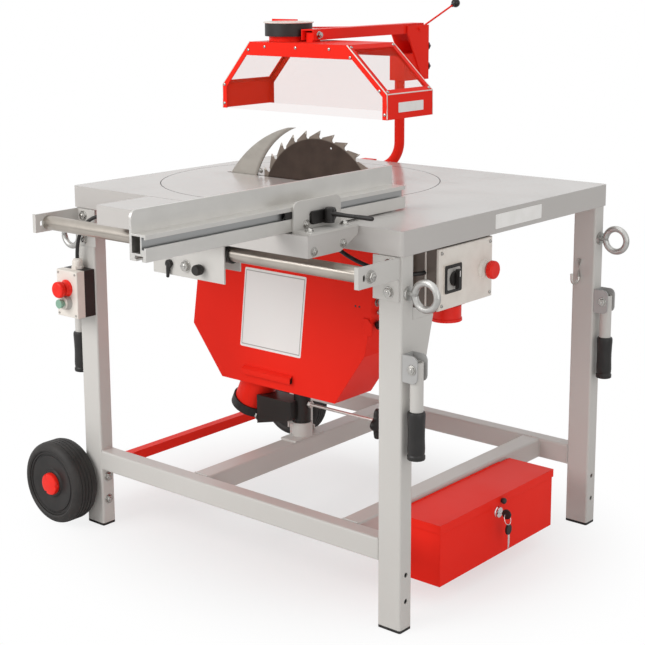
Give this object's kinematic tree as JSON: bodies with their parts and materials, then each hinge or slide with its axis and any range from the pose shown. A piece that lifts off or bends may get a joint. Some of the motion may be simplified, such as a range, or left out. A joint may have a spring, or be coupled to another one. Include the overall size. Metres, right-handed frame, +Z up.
{
  "type": "construction table saw",
  "caption": "Site table saw with a turning blade unit in a steel table, a swinging clear guard hood, a sliding fence on a front rail, transport wheels and a tool box.",
  "frame": {"origin": "on the floor, under the middle of the saw's overall box", "axes": "+X along the table's front edge from the wheels to the operator's end, +Y from the guide rail across the table to the guard post, +Z up"},
  "size_m": [1.224, 1.6464, 1.2915],
  "materials": {
    "bare_steel": "satin",
    "black_plastic": "matte",
    "blade_steel": "satin",
    "cable_black": "matte",
    "clear_pane": "clear",
    "cream_plastic": "satin",
    "fence_aluminium": "satin",
    "green_plastic": "gloss",
    "grey_paint": "satin",
    "motor_grey": "satin",
    "red_paint": "gloss",
    "red_plastic": "gloss",
    "tyre_black": "matte",
    "zinc": "satin"
  },
  "bodies": {
    "frame": {"table_top": "grey_paint", "legs": "grey_paint", "leg_caps": "black_plastic", "long_beams": "grey_paint", "cross_beams": "grey_paint", "pivot_socket": "grey_paint", "guard_post": "red_paint", "guard_bracket": "red_paint", "post_clamps": "zinc", "guide_rail": "bare_steel", "rail_brackets": "grey_paint", "axle_bar": "red_paint", "wheel_brackets": "grey_paint", "eye_bolts": "zinc", "handle_brackets": "grey_paint", "switch_box": "black_plastic", "switch_box_cover": "cream_plastic", "power_inlet": "red_plastic", "button_box": "black_plastic", "button_box_cover": "cream_plastic", "control_cable": "cable_black", "cable_hook": "zinc", "tool_box": "red_paint", "frame_bolts": "zinc"},
    "saw_unit": {"turntable_disc": "grey_paint", "blade_housing": "red_paint", "housing_cover": "red_paint", "pivot_sleeve": "cable_black", "dust_outlet": "red_paint", "dust_outlet_rim": "black_plastic", "drive_motor": "motor_grey", "riving_knife": "bare_steel"},
    "blade": {"saw_blade": "blade_steel", "blade_arbor": "bare_steel"},
    "lock": {"lock_screw": "black_plastic"},
    "guard": {"guard_arm": "red_paint", "guard_lever": "zinc", "hood_frame": "red_paint", "hood_windows": "clear_pane", "dust_port": "red_paint", "port_collar": "black_plastic"},
    "carriage": {"carriage_table": "grey_paint", "carriage_saddle": "grey_paint", "fence_holder": "fence_aluminium"},
    "carriage_clamp": {"carriage_knob": "black_plastic"},
    "carriage_stop": {"carriage_lever": "black_plastic"},
    "fence": {"fence_profile": "fence_aluminium"},
    "fence_clamp": {"clamp_lever": "black_plastic"},
    "front_wheel_body": {"front_wheel": "tyre_black"},
    "rear_wheel_body": {"rear_wheel": "tyre_black"},
    "front_left_carry": {"front_left_handle": "zinc"},
    "rear_left_carry": {"rear_left_handle": "zinc"},
    "front_right_carry": {"front_right_handle": "zinc"},
    "rear_right_carry": {"rear_right_handle": "zinc"},
    "box_lid": {"tool_box_lid": "red_paint"},
    "key": {"box_key": "black_plastic"},
    "dial": {"switch_dial": "black_plastic"},
    "right_stop": {"stop_button_right": "red_plastic"},
    "left_stop": {"stop_button_left": "red_plastic"},
    "left_start": {"start_button": "green_plastic"}
  },
  "joints": [
    {"name": "turntable_turn", "type": "hinge", "parent": "frame", "child": "saw_unit", "pos_m": [-0.089, 0.12675, 0], "axis": [0, 0, 1], "range_deg": [-15, 15]},
    {"name": "blade_spin", "type": "hinge", "parent": "saw_unit", "child": "blade", "pos_m": [-0.033, 0.12675, 0.787], "axis": [0, 1, 0], "continuous": true},
    {"name": "lock_turn", "type": "hinge", "parent": "saw_unit", "child": "lock", "pos_m": [0.156, 0.12675, 0.287], "axis": [1, 0, 0], "range_deg": [-180, 180]},
    {"name": "guard_swing", "type": "hinge", "parent": "frame", "child": "guard", "pos_m": [-0.103, 0.59675, 1.216], "axis": [-1, 0, 0], "range_deg": [-6, 30]},
    {"name": "carriage_slide", "type": "slide", "parent": "frame", "child": "carriage", "axis": [1, 0, 0], "range_m": [-0.25, 0.09]},
    {"name": "carriage_knob_turn", "type": "hinge", "parent": "carriage", "child": "carriage_clamp", "pos_m": [0.091, -0.40025, 0.745], "axis": [0, 1, 0], "range_deg": [-180, 180]},
    {"name": "carriage_lever_turn", "type": "hinge", "parent": "carriage", "child": "carriage_stop", "pos_m": [-0.007, -0.40025, 0.745], "axis": [0, 1, 0], "range_deg": [-90, 90]},
    {"name": "fence_slide", "type": "slide", "parent": "carriage", "child": "fence", "axis": [0, 1, 0], "range_m": [-0.15, 0.1]},
    {"name": "fence_clamp_turn", "type": "hinge", "parent": "carriage", "child": "fence_clamp", "pos_m": [0.3983, -0.34325, 0.891], "axis": [0, 0, 1], "range_deg": [-75, 75]},
    {"name": "front_wheel_roll", "type": "hinge", "parent": "frame", "child": "front_wheel_body", "pos_m": [-0.508, -0.31525, 0.108], "axis": [0, 1, 0], "continuous": true},
    {"name": "rear_wheel_roll", "type": "hinge", "parent": "frame", "child": "rear_wheel_body", "pos_m": [-0.508, 0.56875, 0.108], "axis": [0, 1, 0], "continuous": true},
    {"name": "front_left_handle_swing", "type": "hinge", "parent": "frame", "child": "front_left_carry", "pos_m": [-0.484, -0.25925, 0.578], "axis": [0, 1, 0], "range_deg": [0, 90]},
    {"name": "rear_left_handle_swing", "type": "hinge", "parent": "frame", "child": "rear_left_carry", "pos_m": [-0.484, 0.51275, 0.578], "axis": [0, 1, 0], "range_deg": [0, 90]},
    {"name": "front_right_handle_swing", "type": "hinge", "parent": "frame", "child": "front_right_carry", "pos_m": [0.556, -0.25925, 0.578], "axis": [0, -1, 0], "range_deg": [0, 90]},
    {"name": "rear_right_handle_swing", "type": "hinge", "parent": "frame", "child": "rear_right_carry", "pos_m": [0.556, 0.51275, 0.578], "axis": [0, -1, 0], "range_deg": [0, 90]},
    {"name": "lid_open", "type": "hinge", "parent": "frame", "child": "box_lid", "pos_m": [0.395, 0.11125, 0.187], "axis": [0, -1, 0], "range_deg": [0, 90]},
    {"name": "key_turn", "type": "hinge", "parent": "frame", "child": "key", "pos_m": [0.526, 0.10475, 0.152], "axis": [1, 0, 0], "range_deg": [0, 90]},
    {"name": "dial_turn", "type": "hinge", "parent": "frame", "child": "dial", "pos_m": [0.535, -0.10575, 0.736], "axis": [1, 0, 0], "range_deg": [0, 90]},
    {"name": "right_stop_press", "type": "slide", "parent": "frame", "child": "right_stop", "axis": [-1, 0, 0], "range_m": [0, 0.005], "stiffness_N_per_m": 900},
    {"name": "left_stop_press", "type": "slide", "parent": "frame", "child": "left_stop", "axis": [0, 1, 0], "range_m": [0, 0.005], "stiffness_N_per_m": 900},
    {"name": "left_start_press", "type": "slide", "parent": "frame", "child": "left_start", "axis": [0, 1, 0], "range_m": [0, 0.005], "stiffness_N_per_m": 900}
  ]
}
